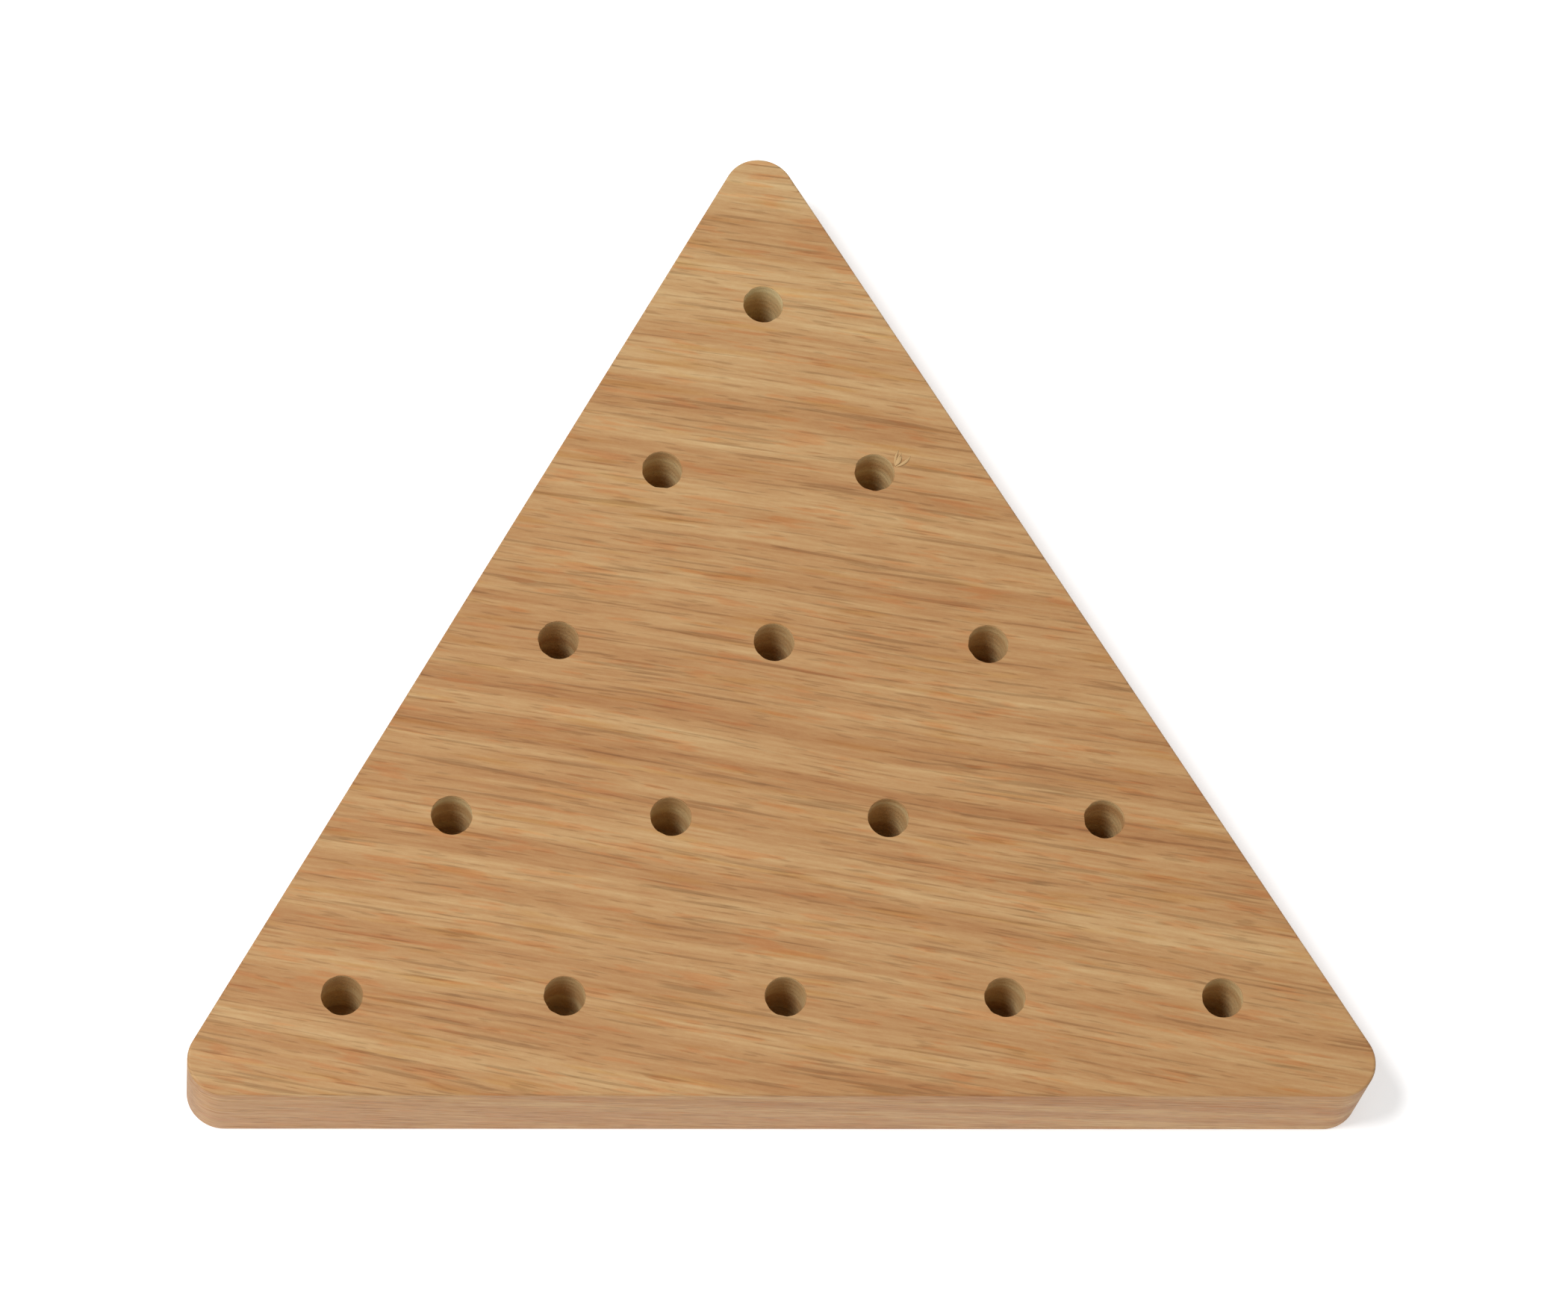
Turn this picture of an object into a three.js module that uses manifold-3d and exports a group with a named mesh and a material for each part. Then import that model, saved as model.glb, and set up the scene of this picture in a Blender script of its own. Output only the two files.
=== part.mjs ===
// Triangle peg jump game: a solid hardwood board with fifteen blind peg holes,
// and the fourteen loose pegs that the game is played with.
//
// Millimetres, +Z up. The origin is on the surface that the board rests on,
// straight below the middle of the hole pattern. +Y points to the board's
// single-hole corner, and the five-hole row is the front edge.

import * as THREE from 'three';
import { mergeVertices } from 'three/addons/utils/BufferGeometryUtils.js';
import Module from 'manifold-3d';

const wasm = await Module();
wasm.setup();

// Hole pattern
const HOLE_ROWS = 5;
const HOLE_PITCH = 25.4;
const HOLE_DIAMETER = 4.76;
const HOLE_DEPTH = 10.7;
const HOLE_SIDES = 32;
const DRILL_POINT_RADIUS = 0.8;
const DRILL_POINT_DEPTH = 0.7;

// Board
const BOARD_SIDE = 142.9;
const BOARD_THICKNESS = 12.7;
const CORNER_RADIUS = 4.3;
const CORNER_SEGMENTS = 16;
const EDGE_CHAMFER = 0.35;

// Pegs
const PEG_COUNT = 14;
const PEG_DIAMETER = 4.4;
const PEG_LENGTH = 31.75;
const PEG_SIDES = 20;
const PEG_DOME_HEIGHT = 1.1;
const PEG_DOME_STEPS = 4;
const PEG_TIP_CHAMFER = 0.6;

// The loose pegs lie side by side in front of the board
const PEG_SPACING = 9;
const PEG_ROW_GAP = 29;
const PEG_STAGGER = 0.8;
const PEG_YAW = THREE.MathUtils.degToRad(2.5);

// Distances that follow from the sizes above
const BOARD_INRADIUS = BOARD_SIDE / (2 * Math.sqrt(3));
const ROW_PITCH = HOLE_PITCH * Math.sin(Math.PI / 3);
const FIRST_ROW_Y = ((HOLE_ROWS - 1) * ROW_PITCH * 2) / 3;
const PEG_ROW_Y = -(BOARD_INRADIUS + PEG_ROW_GAP + PEG_LENGTH);

const oak = new THREE.MeshStandardMaterial({ color: 0xbd9164, roughness: 0.62, metalness: 0 });
const birch = new THREE.MeshStandardMaterial({ color: 0xd9bd8f, roughness: 0.5, metalness: 0 });

// A closed three.js geometry as a manifold solid, with its shared vertices merged
function toSolid(geometry) {
  const bare = geometry.clone();
  bare.deleteAttribute('normal');
  bare.deleteAttribute('uv');
  const merged = mergeVertices(bare);
  return new wasm.Manifold(new wasm.Mesh({
    numProp: 3,
    vertProperties: new Float32Array(merged.attributes.position.array),
    triVerts: new Uint32Array(merged.index.array),
  }));
}

// A manifold solid as a three.js geometry
function toGeometry(solid) {
  const mesh = solid.getMesh();
  const geometry = new THREE.BufferGeometry();
  geometry.setAttribute('position', new THREE.BufferAttribute(mesh.vertProperties, 3));
  geometry.setIndex(new THREE.BufferAttribute(mesh.triVerts, 1));
  geometry.computeVertexNormals();
  return geometry;
}

// An equilateral triangle with rounded corners, pointing along +Y
function roundedTriangle(inradius, cornerRadius) {
  const shape = new THREE.Shape();
  const arcCentreDistance = 2 * (inradius - cornerRadius);
  for (const degrees of [90, 210, 330]) {
    const angle = THREE.MathUtils.degToRad(degrees);
    shape.absarc(
      arcCentreDistance * Math.cos(angle),
      arcCentreDistance * Math.sin(angle),
      cornerRadius,
      angle - Math.PI / 3,
      angle + Math.PI / 3,
      false,
    );
  }
  return shape;
}

// The board before drilling, with its top and bottom edges lightly chamfered
function boardBlank() {
  const outline = roundedTriangle(BOARD_INRADIUS, CORNER_RADIUS);
  const geometry = new THREE.ExtrudeGeometry(outline, {
    depth: BOARD_THICKNESS - 2 * EDGE_CHAMFER,
    curveSegments: CORNER_SEGMENTS,
    bevelEnabled: true,
    bevelSegments: 1,
    bevelSize: EDGE_CHAMFER,
    bevelThickness: EDGE_CHAMFER,
    bevelOffset: -EDGE_CHAMFER,
  });
  geometry.translate(0, 0, EDGE_CHAMFER);
  return toSolid(geometry);
}

// What one drilled hole takes away: a round bore with the mark of the bit's centre point.
// It stands on its bore floor at z = 0 and is long enough to pass out of the top.
function drilledBore() {
  const radius = HOLE_DIAMETER / 2;
  const profile = [
    new THREE.Vector2(0, -DRILL_POINT_DEPTH),
    new THREE.Vector2(DRILL_POINT_RADIUS, 0),
    new THREE.Vector2(radius, 0),
    new THREE.Vector2(radius, 2 * HOLE_DEPTH),
    new THREE.Vector2(0, 2 * HOLE_DEPTH),
  ];
  const geometry = new THREE.LatheGeometry(profile, HOLE_SIDES);
  geometry.rotateX(Math.PI / 2);
  return toSolid(geometry);
}

// Hole centres, from the single hole at the back to the row of five at the front
function holeCentres() {
  const centres = [];
  for (let row = 0; row < HOLE_ROWS; row += 1) {
    for (let column = 0; column <= row; column += 1) {
      const x = (column - row / 2) * HOLE_PITCH;
      centres.push(new THREE.Vector2(x, FIRST_ROW_Y - row * ROW_PITCH));
    }
  }
  return centres;
}

function makeBoard() {
  const bore = drilledBore();
  const boreFloor = BOARD_THICKNESS - HOLE_DEPTH;
  let solid = boardBlank();
  for (const centre of holeCentres()) {
    solid = solid.subtract(bore.translate([centre.x, centre.y, boreFloor]));
  }
  const board = new THREE.Mesh(toGeometry(solid), oak);
  board.name = 'board';
  return board;
}

// A plain dowel peg along +Y, from its chamfered tip at the origin to its domed top
function pegGeometry() {
  const radius = PEG_DIAMETER / 2;
  const domeStart = PEG_LENGTH - PEG_DOME_HEIGHT;
  const profile = [
    new THREE.Vector2(0, 0),
    new THREE.Vector2(radius - PEG_TIP_CHAMFER, 0),
    new THREE.Vector2(radius, PEG_TIP_CHAMFER),
  ];
  for (let step = 0; step < PEG_DOME_STEPS; step += 1) {
    const angle = (step / PEG_DOME_STEPS) * (Math.PI / 2);
    const y = domeStart + PEG_DOME_HEIGHT * Math.sin(angle);
    profile.push(new THREE.Vector2(radius * Math.cos(angle), y));
  }
  profile.push(new THREE.Vector2(0, PEG_LENGTH));
  return new THREE.LatheGeometry(profile, PEG_SIDES);
}

// Each peg keeps its own mesh, laid down by hand a little out of line with the next
function makePegs() {
  const geometry = pegGeometry();
  const pegs = new THREE.Group();
  for (let index = 0; index < PEG_COUNT; index += 1) {
    const peg = new THREE.Mesh(geometry, birch);
    const x = (index - (PEG_COUNT - 1) / 2) * PEG_SPACING;
    peg.name = `peg_${String(index + 1).padStart(2, '0')}`;
    peg.position.set(x, PEG_ROW_Y + PEG_STAGGER * Math.sin(2.4 * index), PEG_DIAMETER / 2);
    peg.rotation.z = PEG_YAW * Math.sin(1.7 * index);
    pegs.add(peg);
  }
  return pegs;
}

const game = new THREE.Group();
game.name = 'triangle_peg_jump_game';
game.add(makeBoard());
game.add(makePegs());

export default game;
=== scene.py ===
"""Looks of the triangle peg jump game: a drilled solid oak board and its loose birch pegs."""

import math

import bmesh
import bpy
import numpy as np
from mathutils import Matrix, Quaternion, Vector, geometry, noise


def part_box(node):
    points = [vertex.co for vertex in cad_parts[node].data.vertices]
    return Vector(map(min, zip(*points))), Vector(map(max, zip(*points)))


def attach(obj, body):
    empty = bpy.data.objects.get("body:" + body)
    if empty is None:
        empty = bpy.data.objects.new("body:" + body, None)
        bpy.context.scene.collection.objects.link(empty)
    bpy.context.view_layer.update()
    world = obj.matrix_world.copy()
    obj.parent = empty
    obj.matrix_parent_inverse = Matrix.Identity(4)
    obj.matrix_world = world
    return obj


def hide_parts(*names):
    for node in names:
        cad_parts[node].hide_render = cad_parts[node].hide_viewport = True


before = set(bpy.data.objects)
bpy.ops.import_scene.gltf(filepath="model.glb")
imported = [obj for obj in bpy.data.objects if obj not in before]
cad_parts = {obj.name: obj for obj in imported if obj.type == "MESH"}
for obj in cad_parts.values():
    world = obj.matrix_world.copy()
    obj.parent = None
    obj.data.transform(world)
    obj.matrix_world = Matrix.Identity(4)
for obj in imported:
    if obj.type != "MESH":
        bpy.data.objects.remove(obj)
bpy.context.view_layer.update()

MM = 0.001

# Board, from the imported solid: an even-sided rounded triangle about the origin, front edge at low.y
BOARD_LOW, BOARD_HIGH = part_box("board")
BOARD_TOP = BOARD_HIGH.z
INRADIUS = -BOARD_LOW.y
CORNER_RADIUS = 2 * INRADIUS - BOARD_HIGH.y
CORNER_POINTS = 20
SIDE_POINTS = 72

# Its worn edges: the rounding, how much of it varies, and that wear's features to a metre
EDGE_RADIUS = 0.32 * MM
EDGE_STEPS = 4
EDGE_WEAR = 0.45
WEAR_SCALE = 260

# Peg holes, in rows of one to five, with drill ridges down the wall and the drill's mark in the floor.
# Scales are features to a metre, and FILLET_SAG is how far the middle of the floor's fillet lies from
# its corner, as a share of its radius.
HOLE_ROWS = 5
HOLE_PITCH = 25.4 * MM
ROW_PITCH = HOLE_PITCH * math.sin(math.pi / 3)
FIRST_ROW_Y = (HOLE_ROWS - 1) * ROW_PITCH * 2 / 3
HOLE_RADIUS = 2.38 * MM
HOLE_DEPTH = 10.7 * MM
HOLE_POINTS = 72
RIM_RADIUS = 0.1 * MM
RIM_STEPS = 2
RIM_RAGGEDNESS = 0.02 * MM
WALL_RAGGEDNESS = 0.4 * RIM_RAGGEDNESS
RAGGED_SCALE = 1400
WALL_STEPS = 64
DRILL_PITCH = 1.15 * MM
DRILL_RIDGE = 0.01 * MM
FLOOR_FILLET = 0.25 * MM
FILLET_SAG = 0.3
FLOOR_RING_RADIUS = 1.5 * MM
DRILL_POINT_RADIUS = 0.8 * MM
DRILL_POINT_DEPTH = 0.6 * MM
DRILL_POINT_RING = 0.35

# Oak: the grain runs along the board's width and falls a little to the right. It fans out, by a slope of
# GRAIN_FAN for each millimetre from a line FAN_CENTRE millimetres in front of the middle. The growth
# rings lean back by RING_TILT for each millimetre down, and wander by waves, each with its features to
# a millimetre and its reach in millimetres.
GRAIN_ANGLE = math.radians(-10.3)
GRAIN_FAN = 0.00044
FAN_CENTRE = 22
RING_TILT = 1.6
RING_WANDER = (((0.012, 0.03, 0.03), 3.0), ((0.025, 0.2, 0.2), 0.7))

# Growth bands: millimetres across the grain from the board's middle, and how dark the wood is there,
# on a smooth curve. PLAIN_BAND is plain wood, and about 1 is the darkest, most porous wood. One unit
# is BAND_STRENGTH steps of tone.
BAND_STRENGTH = 2.5
PLAIN_BAND = 0.5
GROWTH_BANDS = (
    (95, -0.6), (84, -0.55), (75, -0.35), (70.6, -0.3), (66.4, 0.55), (62, -0.14), (57.5, -0.16),
    (52.7, 0.36), (48.3, 0), (43, 0.66), (39.6, 0.06), (35.4, 0.7), (32.3, 0.03), (29.7, 0.48),
    (27, 0.28), (23.4, 0.66), (20, 0.38), (16, 0.58), (13, 0.44), (10, 0.66), (7, 0.38), (3.8, 0.98),
    (0.9, 0.24), (-2.4, 1.08), (-5.3, 0.32), (-9, 0.7), (-13.8, 0.12), (-17, 0.74), (-20, 0.24),
    (-23, 0.66), (-26, 0.26), (-30, 0.6), (-33.8, 0.3), (-36.9, 0.78), (-39.8, 0.82), (-42.7, 0.12),
    (-45.6, 0.66), (-49.3, 0.14), (-53, 0.5),
)

# Streaks: features to a millimetre along and across the grain, and their strength in steps of tone
GRAIN_STREAKS = (
    (0.02, 0.2, 0.7),
    (0.03, 0.45, 2.2),
    (0.045, 0.9, 2.5),
    (0.015, 1.5, 1.8),
    (0.09, 1.6, 2.3),
    (0.03, 2.8, 2.0),
    (0.26, 3.2, 2.4),
    (1.6, 5.0, 1.2),
)

# Marks: features to a millimetre along and across, the noise levels where a mark starts and is
# full, and its tint
LONG_PORES = (0.07, 2.1, 0.59, 0.7, (0.76, 0.73, 0.69))
SHORT_PORES = (0.2, 2.6, 0.6, 0.7, (0.82, 0.79, 0.75))
ORANGE_FLECKS = (0.16, 1.3, 0.57, 0.69, (1.02, 0.88, 0.79))
AMBER_STREAKS = (0.07, 0.8, 0.56, 0.74, (0.96, 0.88, 0.72))
GRAIN_MARKS = (LONG_PORES, SHORT_PORES, ORANGE_FLECKS, AMBER_STREAKS)
FIBRE_SCALE = (0.2, 3.2, 3.2)

# Colours of the wood at tone 0, and what each step of tone multiplies them by. END_GRAIN_FACING is how
# squarely a face cuts the grain where its tint starts and is full. The last two settings paint shade, with
# some real scorch from the drill, onto a hole's wall towards its floor: a tint, and the height in
# millimetres above a hole's floor where it starts.
TONE_STEP = (0.92, 0.857, 0.81)
TONE_REACH = 4
OAK_COLOUR = (0.45, 0.243, 0.098)
DRILLED_COLOUR = (0.64, 0.43, 0.2)
TORN_COLOUR = (0.49, 0.285, 0.122)
ROUGH_CONTRAST = 1.3
END_GRAIN_TINT = (0.8, 0.78, 0.76)
END_GRAIN_FACING = (0.25, 0.95)
FLOOR_SHADE_AND_SCORCH_TINT = (0.62, 0.54, 0.44)
FLOOR_SHADE_HEIGHT = 0.6

# Torn fibres beside the right hole of the second row: start right of and behind the hole's centre,
# heading, length, bend and half width, in millimetres and degrees. SPLINTER_TIP is the share of half a
# wave that the ends of their width leave out.
CHIPPED_HOLE = 2
SPLINTERS = (
    (2.45, 0.9, 92, 2.2, -32, 0.16),
    (2.6, 0.8, 14, 2.3, 44, 0.2),
    (2.5, 0.9, 52, 1.5, 12, 0.3),
    (2.6, 1.3, 70, 1.5, -20, 0.12),
)
SPLINTER_STEPS = 12
SPLINTER_SIDES = 8
SPLINTER_LIFT = 0.07 * MM
SPLINTER_TIP = 0.04
SPLINTER_FLATNESS = 0.35

# Pegs: turned dowels with a sanded tip and a domed top
PEG_POINTS = 48
PEG_TIP_CHAMFER = 0.6 * MM
PEG_TIP_EASE = 0.05 * MM
PEG_TIP_ROUNDING = 0.12 * MM
PEG_SHOULDER = 0.08 * MM
PEG_BODY_STEPS = 25
PEG_DOME_HEIGHT = 1.1 * MM
PEG_DOME_STEPS = 9
PEG_DENT = 0.012 * MM
PEG_DENT_SCALE = 500
BIRCH_TONES = ((0.0, (0.62, 0.46, 0.27)), (0.5, (0.54, 0.38, 0.2)), (1.0, (0.42, 0.27, 0.125)))

# Camera: a long lens above the front edge, a little to the left
LENS_MM = 135
SENSOR_MM = 36
CAMERA_DISTANCE = 690.8 * MM
CAMERA_AZIMUTH = math.radians(-15.17)
CAMERA_ELEVATION = math.radians(66.95)
CAMERA_ROLL = math.radians(14.52)
CAMERA_AIM = Vector((1.1 * MM, 12.9 * MM, BOARD_TOP))

# Light: pale walls that fade to a dimmer ceiling between two heights of the sky, and one soft lamp
# high on the left
HORIZON_LIGHT = 0.72
CEILING_LIGHT = 0.42
HORIZON_TOP = 0.1
CEILING_EDGE = 0.4
LAMP_PLACE = Vector((-0.4, -0.04, 0.84))
LAMP_SIZE = 0.28
LAMP_POWER = 6.35

# Floor: a wide pale sheet that glows faintly, so that it stays near white beside the object
FLOOR_REACH = 6
FLOOR_COLOUR = (0.93, 0.93, 0.93, 1)
FLOOR_GLOW = 0.42
WHITE = (1, 1, 1, 1)


class Shader:
    """Builds one node material around a Principled BSDF."""

    def __init__(self, name):
        self.material = bpy.data.materials.new(name)
        self.material.use_nodes = True
        self.tree = self.material.node_tree
        self.surface = self.tree.nodes["Principled BSDF"]

    def plug(self, socket, value):
        if isinstance(value, bpy.types.NodeSocket):
            self.tree.links.new(value, socket)
        else:
            socket.default_value = value

    def node(self, kind, inputs=(), **settings):
        made = self.tree.nodes.new("ShaderNode" + kind)
        for name, value in settings.items():
            setattr(made, name, value)
        for key, value in inputs:
            self.plug(made.inputs[key], value)
        return made

    def math(self, operation, *values):
        return self.node("Math", enumerate(values), operation=operation).outputs[0]

    def about(self, value, middle, strength, base):
        """base, plus strength times how far the value is above its middle."""
        return self.math("MULTIPLY_ADD", self.math("SUBTRACT", value, middle), strength, base)

    def ramp(self, value, stops):
        """A colour ramp through (place, colour) stops."""
        made = self.node("ValToRGB", [("Fac", value)])
        elements = made.color_ramp.elements
        while len(elements) > 1:
            elements.remove(elements[-1])
        for index, (place, colour) in enumerate(stops):
            element = elements[0] if index == 0 else elements.new(place)
            element.position = place
            element.color = (*colour, 1)
        return made.outputs["Color"]

    def curve(self, value, points):
        """A smooth curve through points from 0 to 1."""
        made = self.node("FloatCurve", [("Value", value)])
        line = made.mapping.curves[0].points
        line[0].location = points[0]
        line[1].location = points[-1]
        for point in points[1:-1]:
            line.new(*point)
        made.mapping.update()
        return made.outputs[0]

    def remap(self, value, low, high, to_low=0.0, to_high=1.0, kind="SMOOTHSTEP"):
        """The value taken from one range to another, smoothly unless kind says otherwise."""
        inputs = [("Value", value), ("From Min", low), ("From Max", high)]
        inputs += [("To Min", to_low), ("To Max", to_high)]
        return self.node("MapRange", inputs, interpolation_type=kind).outputs["Result"]

    def tint(self, colour, amount, by):
        """The colour multiplied by another where amount is 1. Mix has its colours in sockets 6 and 7."""
        inputs = [(0, amount), (6, colour), (7, (*by, 1))]
        return self.node("Mix", inputs, data_type="RGBA", blend_type="MULTIPLY").outputs[2]

    def noise(self, place, scale, detail=1.0, roughness=0.5, shift=(0, 0, 0)):
        """Noise from 0 to 1. Scale is features to a millimetre on each axis; shift sets layers apart."""
        inputs = [("Vector", place), ("Scale", scale), ("Location", shift)]
        scaled = self.node("Mapping", inputs).outputs[0]
        inputs = [("Vector", scaled), ("Scale", 1.0), ("Detail", detail), ("Roughness", roughness)]
        return self.node("TexNoise", inputs).outputs[0]

    def place(self, turn):
        """Object coordinates in millimetres, turned about Z so that the grain lies along X."""
        coordinates = self.node("TexCoord").outputs["Object"]
        inputs = [("Vector", coordinates), ("Rotation", (0, 0, turn)), ("Scale", (1 / MM, 1 / MM, 1 / MM))]
        return self.node("Mapping", inputs).outputs[0]

    def split(self, vector):
        return self.node("SeparateXYZ", [(0, vector)]).outputs

    def join(self, x, y, z):
        return self.node("CombineXYZ", [(0, x), (1, y), (2, z)]).outputs[0]

    def finish(self, colour, roughness, specular, height, strength, depth):
        """The material, with its colour, its gloss and a bump of the height up to a depth in metres."""
        bump = self.node("Bump", [("Height", height), ("Strength", strength), ("Distance", depth)])
        self.plug(self.surface.inputs["Base Color"], colour)
        self.plug(self.surface.inputs["Roughness"], roughness)
        self.plug(self.surface.inputs["Specular IOR Level"], specular)
        self.plug(self.surface.inputs["Normal"], bump.outputs[0])
        return self.material


def grain_place(shader):
    """Millimetres along the grain, across the growth rings and up, following the slightly fanned grain."""
    along, across, up = shader.split(shader.place(-GRAIN_ANGLE))
    fan = shader.math("MULTIPLY", shader.math("ADD", across, FAN_CENTRE), -GRAIN_FAN)
    ring = shader.math("MULTIPLY_ADD", along, fan, across)
    ring = shader.about(up, BOARD_TOP / MM, RING_TILT, ring)
    flow = shader.join(along, ring, up)
    for scale, reach in RING_WANDER:
        ring = shader.about(shader.noise(flow, scale, shift=(7, 3, 5)), 0.5, reach, ring)
    return shader.join(along, ring, up)


def band_tone(shader, flow):
    """The tone of the growth bands: above zero in the darker, more porous wood."""
    places, tones = zip(*reversed(GROWTH_BANDS))
    first, last = places[0], places[-1]
    pale, dark = min(tones), max(tones)
    points = []
    for place, tone in zip(places, tones):
        points.append(((place - first) / (last - first), (tone - pale) / (dark - pale)))
    share = shader.remap(shader.split(flow)[1], first, last, kind="LINEAR")
    tone = shader.math("MULTIPLY_ADD", shader.curve(share, points), dark - pale, pale - PLAIN_BAND)
    return shader.math("MULTIPLY", tone, BAND_STRENGTH)


def grain_tone(shader, flow, streaks):
    """The tone of the growth bands with streaks over it."""
    tone = band_tone(shader, flow)
    for index, (along, across, strength) in enumerate(streaks):
        shift = (3 * index, 7 * index, index)
        layer = shader.noise(flow, (along, across, across), shift=shift)
        tone = shader.about(layer, 0.5, strength, tone)
    return tone


def grain_marks(shader, flow):
    """How much of each kind of grain mark there is, from 0 to 1."""
    marks = []
    for index, (along, across, start, full, _) in enumerate(GRAIN_MARKS):
        shift = (11 + 5 * index, index, 3 * index)
        layer = shader.noise(flow, (along, across, across), shift=shift)
        marks.append(shader.remap(layer, start, full))
    return marks


def toned_colour(shader, base, tone):
    """The wood's colour at a tone, from paler than its base to darker."""
    stops = []
    for step in range(-TONE_REACH, TONE_REACH + 1):
        colour = tuple(channel * change ** step for channel, change in zip(base, TONE_STEP))
        stops.append(((step + TONE_REACH) / (2 * TONE_REACH), colour))
    return shader.ramp(shader.remap(tone, -TONE_REACH, TONE_REACH, kind="LINEAR"), stops)


def oak_material():
    """Sanded oak: growth bands, streaks, open pores, flecks, and darker wood where the grain ends."""
    shader = Shader("oak_solid")
    flow = grain_place(shader)
    colour = toned_colour(shader, OAK_COLOUR, grain_tone(shader, flow, GRAIN_STREAKS))
    marks = grain_marks(shader, flow)
    for mark, kind in zip(marks, GRAIN_MARKS):
        colour = shader.tint(colour, mark, kind[-1])

    normal = shader.node("TexCoord").outputs["Normal"]
    grain = (math.cos(GRAIN_ANGLE), math.sin(GRAIN_ANGLE), 0)
    facing = shader.node("VectorMath", [(0, normal), (1, grain)], operation="DOT_PRODUCT").outputs["Value"]
    end_grain = shader.remap(shader.math("ABSOLUTE", facing), *END_GRAIN_FACING)
    colour = shader.tint(colour, end_grain, END_GRAIN_TINT)

    fibres = shader.noise(flow, FIBRE_SCALE, shift=(31, 4, 12))
    pores = shader.math("MAXIMUM", marks[0], marks[1])
    height = shader.math("MULTIPLY_ADD", pores, -1.0, shader.math("MULTIPLY", fibres, 0.6))
    roughness = shader.remap(fibres, 0.2, 0.8, 0.5, 0.66)
    return shader.finish(colour, roughness, specular=0.3, height=height, strength=0.5, depth=0.05 * MM)


def rough_oak_material(name, base):
    """Drilled or torn oak: dusty and fuzzy, and darker towards the floor of a hole, as painted shade with
    some real scorch from the drill.
    """
    shader = Shader(name)
    flow = grain_place(shader)
    tone = grain_tone(shader, flow, GRAIN_STREAKS[:2])
    colour = toned_colour(shader, base, shader.math("MULTIPLY", tone, ROUGH_CONTRAST))
    floor_height = (BOARD_TOP - HOLE_DEPTH) / MM
    # Painted shade, with some real drill scorch: the colour darkens over the last stretch above a hole's
    # floor
    floor_shade_and_scorch = shader.remap(shader.split(flow)[2], floor_height + FLOOR_SHADE_HEIGHT, floor_height)
    colour = shader.tint(colour, floor_shade_and_scorch, FLOOR_SHADE_AND_SCORCH_TINT)
    fuzz = shader.noise(flow, (1.5, 3.5, 3.5), detail=3.0, roughness=0.7)
    return shader.finish(colour, roughness=0.85, specular=0.25, height=fuzz, strength=0.6, depth=0.1 * MM)


def birch_material():
    """Smooth pale birch, streaked along the peg, with a tone that varies from peg to peg."""
    shader = Shader("birch_peg")
    place = shader.place(math.pi / 2)
    streaks = shader.noise(place, (0.035, 0.7, 0.7), detail=4.0, roughness=0.6)
    fibres = shader.noise(place, (0.2, 4.0, 4.0), detail=2.0, roughness=0.6, shift=(2, 5, 7))
    piece = shader.noise(place, (0.0, 0.12, 0.0), detail=0.0, shift=(1, 2, 3))
    tone = shader.about(streaks, 0.5, 1.1, 0.5)
    tone = shader.about(fibres, 0.5, 0.5, tone)
    tone = shader.about(piece, 0.5, 0.7, tone)
    colour = shader.ramp(tone, BIRCH_TONES)
    return shader.finish(colour, roughness=0.5, specular=0.5, height=fibres, strength=0.4, depth=0.04 * MM)


def floor_material():
    shader = Shader("studio_floor")
    surface = shader.surface.inputs
    surface["Base Color"].default_value = FLOOR_COLOUR
    surface["Roughness"].default_value = 0.9
    surface["Specular IOR Level"].default_value = 0.1
    surface["Emission Color"].default_value = WHITE
    surface["Emission Strength"].default_value = FLOOR_GLOW
    return shader.material


def add_piece(name, mesh, materials):
    bmesh.ops.recalc_face_normals(mesh, faces=mesh.faces)
    data = bpy.data.meshes.new(name)
    mesh.to_mesh(data)
    mesh.free()
    for material in materials:
        data.materials.append(material)
    piece = bpy.data.objects.new(name, data)
    bpy.context.scene.collection.objects.link(piece)
    return piece


def spoke(angle):
    return Vector((math.cos(angle), math.sin(angle)))


def ring_of(mesh, points, height):
    return [mesh.verts.new((point.x, point.y, height)) for point in points]


def bridge(mesh, first, second, material=0):
    """Smooth quads between two closed loops of the same length."""
    for index, vert in enumerate(first):
        after = (index + 1) % len(first)
        face = mesh.faces.new((vert, second[index], second[after], first[after]))
        face.material_index = material
        face.smooth = True


def close_to_point(mesh, ring, tip, material=0):
    """Smooth triangles from a closed loop to one point."""
    for index, vert in enumerate(ring):
        face = mesh.faces.new((vert, ring[(index + 1) % len(ring)], tip))
        face.material_index = material
        face.smooth = True


def corner_point(corner, turn, inset):
    """A point on the rounded corner that lies towards one angle, moved in by inset."""
    return spoke(corner) * 2 * (INRADIUS - CORNER_RADIUS) + spoke(turn) * (CORNER_RADIUS - inset)


def worn_point(start, end, share, inset_share):
    """The outline's point a share of the way between two corner points, moved in by the wear there."""
    flat = corner_point(*start, 0.0).lerp(corner_point(*end, 0.0), share)
    wear = 1 + EDGE_WEAR * noise.noise(Vector((flat.x, flat.y, 0)) * WEAR_SCALE)
    inset = inset_share * EDGE_RADIUS * wear
    return corner_point(*start, inset).lerp(corner_point(*end, inset), share)


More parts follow.
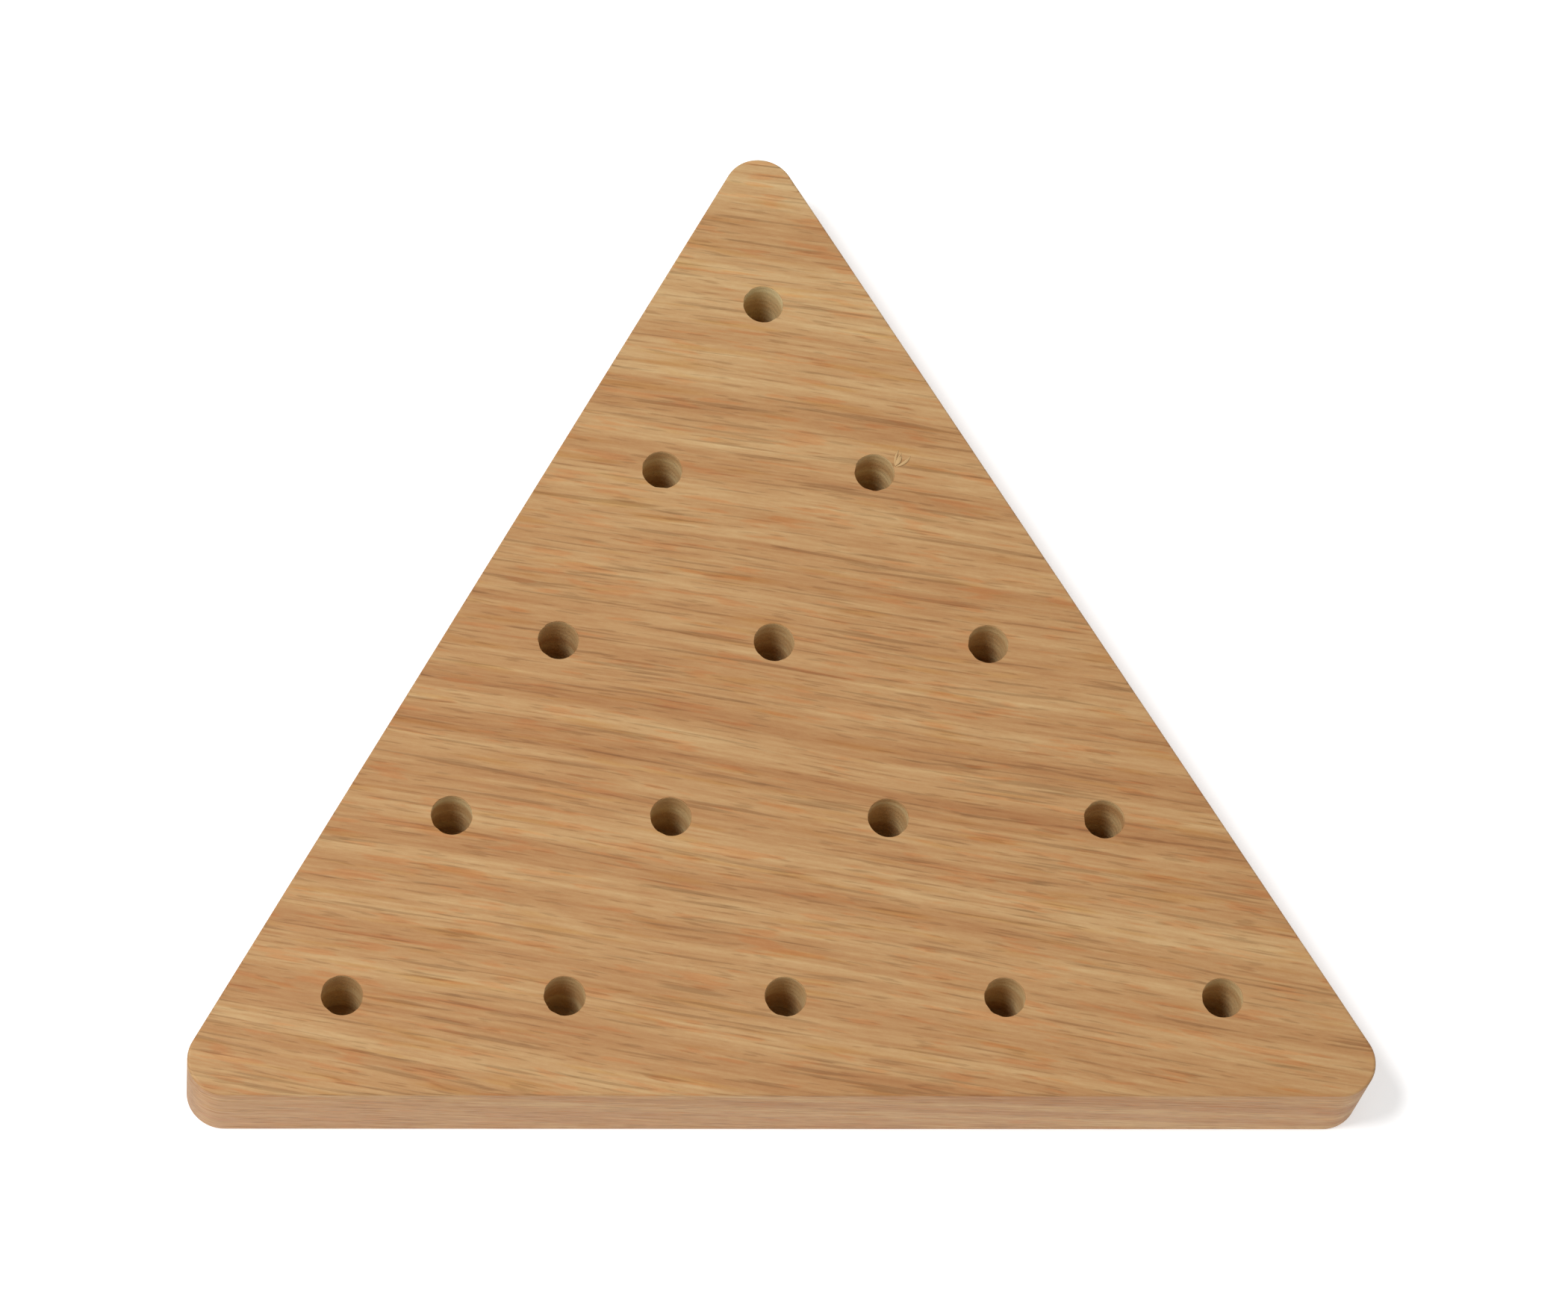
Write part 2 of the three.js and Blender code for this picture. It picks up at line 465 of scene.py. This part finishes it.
def outline(inset_share):
    """The board's outline, moved in by a share of its worn edge radius."""
    corners = [math.radians(angle) for angle in (90, 210, 330)]
    half_arc = math.pi / 3
    points = []
    for index, corner in enumerate(corners):
        for step in range(CORNER_POINTS + 1):
            spot = (corner, corner - half_arc + step / CORNER_POINTS * 2 * half_arc)
            points.append(worn_point(spot, spot, 0.0, inset_share))
        following = corners[(index + 1) % 3]
        start = (corner, corner + half_arc)
        end = (following, following - half_arc)
        for step in range(1, SIDE_POINTS):
            points.append(worn_point(start, end, step / SIDE_POINTS, inset_share))
    return points


def hole_centres():
    for row in range(HOLE_ROWS):
        for column in range(row + 1):
            yield Vector(((column - row / 2) * HOLE_PITCH, FIRST_ROW_Y - row * ROW_PITCH))


def hole_ring(mesh, centre, radius, height, ragged=0.0, ridge=0.0):
    """A loop around a hole, roughened by ragged and pushed out and in by the drill's spiral ridge."""
    points = []
    for index in range(HOLE_POINTS):
        angle = index / HOLE_POINTS * 2 * math.pi
        spot = centre + spoke(angle) * radius
        rough = ragged * noise.noise(Vector((spot.x, spot.y, height)) * RAGGED_SCALE)
        spiral = ridge * math.cos(2 * math.pi * height / DRILL_PITCH - angle)
        points.append(centre + spoke(angle) * (radius + rough + spiral))
    return ring_of(mesh, points, height)


def drill_hole(mesh, centre, rim):
    """The eased rim, ridged wall, filleted floor and centre mark of one blind hole, below its rim loop."""
    floor = BOARD_TOP - HOLE_DEPTH
    wall_top = BOARD_TOP - RIM_RADIUS
    wall_bottom = floor + FLOOR_FILLET
    above = rim
    for step in range(1, RIM_STEPS + 1):
        turn = step / RIM_STEPS * math.pi / 2
        radius = HOLE_RADIUS + RIM_RADIUS * (1 - math.sin(turn))
        height = BOARD_TOP - RIM_RADIUS * (1 - math.cos(turn))
        below = hole_ring(mesh, centre, radius, height, RIM_RAGGEDNESS)
        bridge(mesh, below, above)
        above = below
    for step in range(1, WALL_STEPS + 1):
        height = wall_top + (wall_bottom - wall_top) * step / WALL_STEPS
        below = hole_ring(mesh, centre, HOLE_RADIUS, height, WALL_RAGGEDNESS, DRILL_RIDGE)
        bridge(mesh, below, above, material=1)
        above = below
    sag = FILLET_SAG * FLOOR_FILLET
    inner = (
        (HOLE_RADIUS - sag, floor + sag, DRILL_RIDGE),
        (HOLE_RADIUS - FLOOR_FILLET, floor, 0.0),
        (FLOOR_RING_RADIUS, floor, 0.0),
        (DRILL_POINT_RADIUS, floor, 0.0),
        (DRILL_POINT_RING * DRILL_POINT_RADIUS, floor - (1 - DRILL_POINT_RING) * DRILL_POINT_DEPTH, 0.0),
    )
    for radius, height, ridge in inner:
        below = hole_ring(mesh, centre, radius, height, ridge=ridge)
        bridge(mesh, below, above, material=1)
        above = below
    tip = mesh.verts.new((centre.x, centre.y, floor - DRILL_POINT_DEPTH))
    close_to_point(mesh, above, tip, material=1)


def fill_top(mesh, border, rims):
    """The flat top between the outline and the hole rims, as triangles."""
    loops = [border] + rims
    verts = [vert for loop in loops for vert in loop]
    edges = []
    start = 0
    for loop in loops:
        edges += [(start + index, start + (index + 1) % len(loop)) for index in range(len(loop))]
        start += len(loop)
    flat = [Vector((vert.co.x, vert.co.y)) for vert in verts]
    triangles = geometry.delaunay_2d_cdt(flat, edges, [], 1, 1e-9, False)[2]
    centres = list(hole_centres())
    for triangle in triangles:
        middle = sum((flat[index] for index in triangle), Vector((0, 0))) / 3
        if all((middle - centre).length > HOLE_RADIUS for centre in centres):
            mesh.faces.new([verts[index] for index in triangle])


def make_board():
    """The board: its rounded sides from top to underside, its holes and its top."""
    profile = []
    for step in range(EDGE_STEPS + 1):
        turn = step / EDGE_STEPS * math.pi / 2
        profile.append((1 - math.sin(turn), 1 - math.cos(turn)))
    mesh = bmesh.new()
    loops = [ring_of(mesh, outline(inset), BOARD_TOP - drop * EDGE_RADIUS) for inset, drop in profile]
    loops += [ring_of(mesh, outline(inset), drop * EDGE_RADIUS) for inset, drop in reversed(profile)]
    for upper, lower in zip(loops, loops[1:]):
        bridge(mesh, upper, lower)
    mesh.faces.new(list(reversed(loops[-1])))
    rims = []
    for centre in hole_centres():
        rim = hole_ring(mesh, centre, HOLE_RADIUS + RIM_RADIUS, BOARD_TOP, RIM_RAGGEDNESS)
        drill_hole(mesh, centre, rim)
        rims.append(rim)
    fill_top(mesh, loops[0], rims)
    return add_piece("oak_board", mesh, [oak_material(), rough_oak_material("oak_drilled", DRILLED_COLOUR)])


def make_splinter(name, splinter, material):
    """One lifted, curved sliver of torn wood, thick in its middle and thin at both ends."""
    right, back, heading, length, bend, width = splinter
    hole = list(hole_centres())[CHIPPED_HOLE]
    place = Vector((hole.x + right * MM, hole.y + back * MM, BOARD_TOP))
    mesh = bmesh.new()
    above = None
    for step in range(SPLINTER_STEPS + 1):
        share = step / SPLINTER_STEPS
        forward = spoke(math.radians(heading + bend * (step + 1) / SPLINTER_STEPS)).to_3d()
        side = Vector((-forward.y, forward.x, 0))
        body = width * MM * math.sin(math.pi * (SPLINTER_TIP + (1 - 2 * SPLINTER_TIP) * share))
        middle = place + Vector((0, 0, SPLINTER_LIFT * math.sin(math.pi * share)))
        ring = []
        for index in range(SPLINTER_SIDES):
            across = spoke(index / SPLINTER_SIDES * 2 * math.pi) * body
            lift = Vector((0, 0, SPLINTER_FLATNESS * across.y))
            ring.append(mesh.verts.new(middle + side * across.x + lift))
        if above:
            bridge(mesh, above, ring)
        else:
            mesh.faces.new(ring)
        above = ring
        place += forward * length * MM / SPLINTER_STEPS
    mesh.faces.new(list(reversed(above)))
    return add_piece(name, mesh, [material])


def peg_line(node):
    """The centre, unit direction towards +Y, length and radius of the peg in a CAD node."""
    corners = np.array([vert.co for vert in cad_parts[node].data.vertices])
    middle = (corners.max(axis=0) + corners.min(axis=0)) / 2
    direction = np.linalg.svd(corners - corners.mean(axis=0), full_matrices=False)[2][0]
    direction *= np.sign(direction[1])
    reach = (corners - middle) @ direction
    radius = (corners[:, 2].max() - corners[:, 2].min()) / 2
    return Vector(middle), Vector(direction), reach.max() - reach.min(), radius


def peg_profile(length, radius):
    """(distance from the tip, radius) along a turned dowel with a sanded tip and a domed top."""
    profile = [
        (0.0, radius - PEG_TIP_CHAMFER - PEG_TIP_ROUNDING),
        (PEG_TIP_EASE, radius - PEG_TIP_CHAMFER),
        (PEG_TIP_CHAMFER - PEG_TIP_EASE, radius - PEG_TIP_EASE),
    ]
    body = length - PEG_DOME_HEIGHT - PEG_TIP_CHAMFER
    for step in range(PEG_BODY_STEPS):
        profile.append((PEG_TIP_CHAMFER + PEG_SHOULDER + body * step / PEG_BODY_STEPS, radius))
    for step in range(PEG_DOME_STEPS):
        turn = step / PEG_DOME_STEPS * math.pi / 2
        profile.append((length - PEG_DOME_HEIGHT * (1 - math.sin(turn)), radius * math.cos(turn)))
    return profile


def make_peg(node, material):
    """One peg where its CAD node lies, with faint dents in its surface."""
    centre, direction, length, radius = peg_line(node)
    side = direction.cross(Vector((0, 0, 1))).normalized()
    top = side.cross(direction)
    tip = centre - direction * length / 2
    mesh = bmesh.new()
    above = None
    for distance, width in peg_profile(length, radius):
        ring = []
        for index in range(PEG_POINTS):
            angle = index / PEG_POINTS * 2 * math.pi
            outward = side * math.cos(angle) + top * math.sin(angle)
            spot = tip + direction * distance + outward * width
            dent = PEG_DENT * (noise.noise(spot * PEG_DENT_SCALE) - 1)
            ring.append(mesh.verts.new(spot + outward * dent))
        if above:
            bridge(mesh, above, ring)
        else:
            mesh.faces.new(ring)
        above = ring
    close_to_point(mesh, above, mesh.verts.new(tip + direction * length))
    return add_piece("turned_" + node, mesh, [material])


def make_floor():
    mesh = bmesh.new()
    bmesh.ops.create_grid(mesh, x_segments=1, y_segments=1, size=FLOOR_REACH)
    floor = add_piece("studio_floor", mesh, [floor_material()])


def aim(thing, place, back, roll=0.0):
    """Put a camera or lamp at a place, looking away from its back direction and turned about it."""
    turn = back.to_track_quat("Z", "Y") @ Quaternion((0, 0, 1), roll)
    thing.matrix_world = Matrix.Translation(place) @ turn.to_matrix().to_4x4()
    bpy.context.scene.collection.objects.link(thing)


def make_camera():
    camera = bpy.data.objects.new("camera", bpy.data.cameras.new("camera"))
    camera.data.lens = LENS_MM
    camera.data.sensor_width = SENSOR_MM
    camera.data.clip_start = 0.01
    level = math.cos(CAMERA_ELEVATION)
    back_x = math.sin(CAMERA_AZIMUTH) * level
    back_y = -math.cos(CAMERA_AZIMUTH) * level
    back = Vector((back_x, back_y, math.sin(CAMERA_ELEVATION)))
    aim(camera, CAMERA_AIM + back * CAMERA_DISTANCE, back, CAMERA_ROLL)
    bpy.context.scene.camera = camera


def make_sky():
    """White light from all around, stronger near the horizon than overhead."""
    world = bpy.data.worlds.new("studio")
    bpy.context.scene.world = world
    world.use_nodes = True
    nodes, links = world.node_tree.nodes, world.node_tree.links
    direction = nodes.new("ShaderNodeTexCoord").outputs["Generated"]
    height = nodes.new("ShaderNodeSeparateXYZ")
    links.new(direction, height.inputs[0])
    strength = nodes.new("ShaderNodeMapRange")
    strength.interpolation_type = "SMOOTHSTEP"
    strength.inputs["From Min"].default_value = HORIZON_TOP
    strength.inputs["From Max"].default_value = CEILING_EDGE
    strength.inputs["To Min"].default_value = HORIZON_LIGHT
    strength.inputs["To Max"].default_value = CEILING_LIGHT
    links.new(height.outputs["Z"], strength.inputs["Value"])
    links.new(strength.outputs["Result"], nodes["Background"].inputs["Strength"])
    nodes["Background"].inputs["Color"].default_value = WHITE


def make_lamp():
    lamp = bpy.data.objects.new("key", bpy.data.lights.new("key", "AREA"))
    lamp.data.shape = "DISK"
    lamp.data.size = LAMP_SIZE
    lamp.data.energy = LAMP_POWER
    aim(lamp, LAMP_PLACE, LAMP_PLACE)


make_camera()
make_sky()
make_lamp()
bpy.context.scene.view_settings.view_transform = "Standard"
make_floor()

board = make_board()
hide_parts("board")
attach(board, "board")

torn_oak = rough_oak_material("oak_torn", TORN_COLOUR)
for number, splinter in enumerate(SPLINTERS, start=1):
    torn_fibre = make_splinter(f"torn_fibre_{number}", splinter, torn_oak)
    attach(torn_fibre, "board")

birch = birch_material()
for node in sorted(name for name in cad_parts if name.startswith("peg_")):
    peg = make_peg(node, birch)
    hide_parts(node)
    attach(peg, node)
